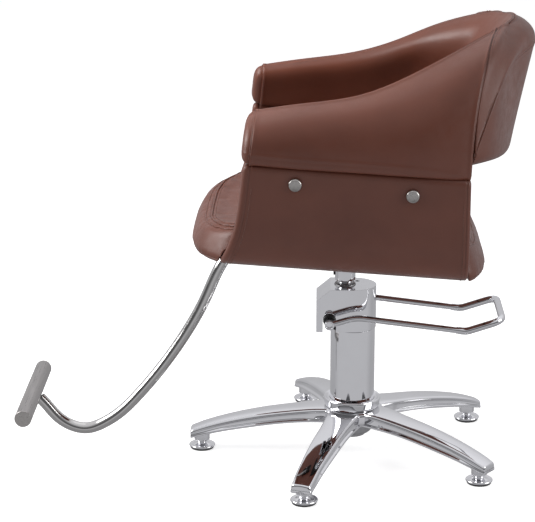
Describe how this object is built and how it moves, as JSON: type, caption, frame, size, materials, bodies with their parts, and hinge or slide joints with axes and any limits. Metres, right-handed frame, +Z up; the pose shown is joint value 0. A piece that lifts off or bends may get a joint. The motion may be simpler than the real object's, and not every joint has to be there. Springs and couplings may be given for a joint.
{
  "type": "styling chair",
  "caption": "Hydraulic salon styling chair: bucket seat with wrap-round arm and back band, swept T-bar footrest, pump column and star base.",
  "frame": {"origin": "middle of the chair's plan box at floor level, with the feet on the floor; the column axis is 0.154 m behind it", "axes": "+Z up, -Y the way the sitter faces, +X the sitter's left"},
  "size_m": [0.6046, 0.956, 0.846],
  "materials": {
    "base_chrome": "polished mirror chrome",
    "pump_chrome": "polished mirror chrome",
    "lever_chrome": "polished",
    "tube_chrome": "polished",
    "brushed_steel": "brushed",
    "machined_steel": "satin",
    "brown_leather": "smooth, softly glossy",
    "black_rubber": "matte",
    "black_plastic": "satin",
    "plywood": "raw birch plywood"
  },
  "bodies": {
    "base": {"star_base": "base_chrome", "hub_ring": "base_chrome", "column_tube": "pump_chrome", "pump_bottom_nut": "machined_steel", "pump_head": "pump_chrome", "oil_filler_screw": "machined_steel", "pressure_cylinder": "machined_steel", "ram_gland": "machined_steel", "plunger_guide": "machined_steel", "lever_bushing_left": "black_plastic", "lever_bushing_right": "black_plastic"},
    "foot_1": {"foot_pad_1": "black_rubber", "foot_disc_1": "base_chrome", "foot_stud_1": "machined_steel"},
    "foot_2": {"foot_pad_2": "black_rubber", "foot_disc_2": "base_chrome", "foot_stud_2": "machined_steel"},
    "foot_3": {"foot_pad_3": "black_rubber", "foot_disc_3": "base_chrome", "foot_stud_3": "machined_steel"},
    "foot_4": {"foot_pad_4": "black_rubber", "foot_disc_4": "base_chrome", "foot_stud_4": "machined_steel"},
    "foot_5": {"foot_pad_5": "black_rubber", "foot_disc_5": "base_chrome", "foot_stud_5": "machined_steel"},
    "lever": {"lever_shaft": "machined_steel", "lever_rocker": "machined_steel", "lever_pedal": "lever_chrome", "lever_arm_left": "lever_chrome", "lever_arm_right": "lever_chrome"},
    "plunger": {"pump_plunger": "machined_steel", "plunger_spring": "machined_steel"},
    "ram": {"ram": "pump_chrome", "piston": "machined_steel"},
    "seat": {"ram_socket": "pump_chrome", "socket_set_screw": "black_plastic", "seat_mount_plate": "machined_steel", "seat_shell": "brown_leather", "seat_board": "plywood", "seat_cushion": "brown_leather", "back_shell": "brown_leather", "band_lining": "brown_leather", "arm_band_left": "brown_leather", "arm_band_right": "brown_leather", "arm_bracket_left": "machined_steel", "arm_bracket_right": "machined_steel", "front_bolt_left": "brushed_steel", "front_bolt_right": "brushed_steel", "rear_bolt_left": "brushed_steel", "rear_bolt_right": "brushed_steel", "footrest_tube": "tube_chrome", "footrest_bar": "brushed_steel", "footrest_cap_left": "brushed_steel", "footrest_cap_right": "brushed_steel", "footrest_bracket": "machined_steel", "clamp_screw_left": "machined_steel", "clamp_screw_right": "machined_steel"}
  },
  "joints": [
    {"name": "seat_lift", "type": "slide", "parent": "base", "child": "ram", "axis": [0, 0, 1], "range_m": [0, 0.15]},
    {"name": "seat_swivel", "type": "hinge", "parent": "ram", "child": "seat", "pos_m": [0, 0.1385, 0.392], "axis": [0, 0, 1], "range_deg": [-155, 155]},
    {"name": "lever_press", "type": "hinge", "parent": "base", "child": "lever", "pos_m": [0, 0.109, 0.274], "axis": [-1, 0, 0], "range_deg": [0, 25], "stiffness_Nm_per_rad": 4, "springref_deg": -34.38},
    {"name": "plunger_stroke", "type": "slide", "parent": "base", "child": "plunger", "axis": [0, 0, 1], "range_m": [0, 0.0063], "deforming": ["plunger_spring"]},
    {"name": "foot_1_screw", "type": "slide", "parent": "base", "child": "foot_1", "axis": [0, 0, -1], "range_m": [0, 0.01]},
    {"name": "foot_2_screw", "type": "slide", "parent": "base", "child": "foot_2", "axis": [0, 0, -1], "range_m": [0, 0.01]},
    {"name": "foot_3_screw", "type": "slide", "parent": "base", "child": "foot_3", "axis": [0, 0, -1], "range_m": [0, 0.01]},
    {"name": "foot_4_screw", "type": "slide", "parent": "base", "child": "foot_4", "axis": [0, 0, -1], "range_m": [0, 0.01]},
    {"name": "foot_5_screw", "type": "slide", "parent": "base", "child": "foot_5", "axis": [0, 0, -1], "range_m": [0, 0.01]}
  ],
  "couplings": [
    {"joint": "plunger_stroke", "follows": "lever_press", "m_per_rad": 0.014}
  ]
}
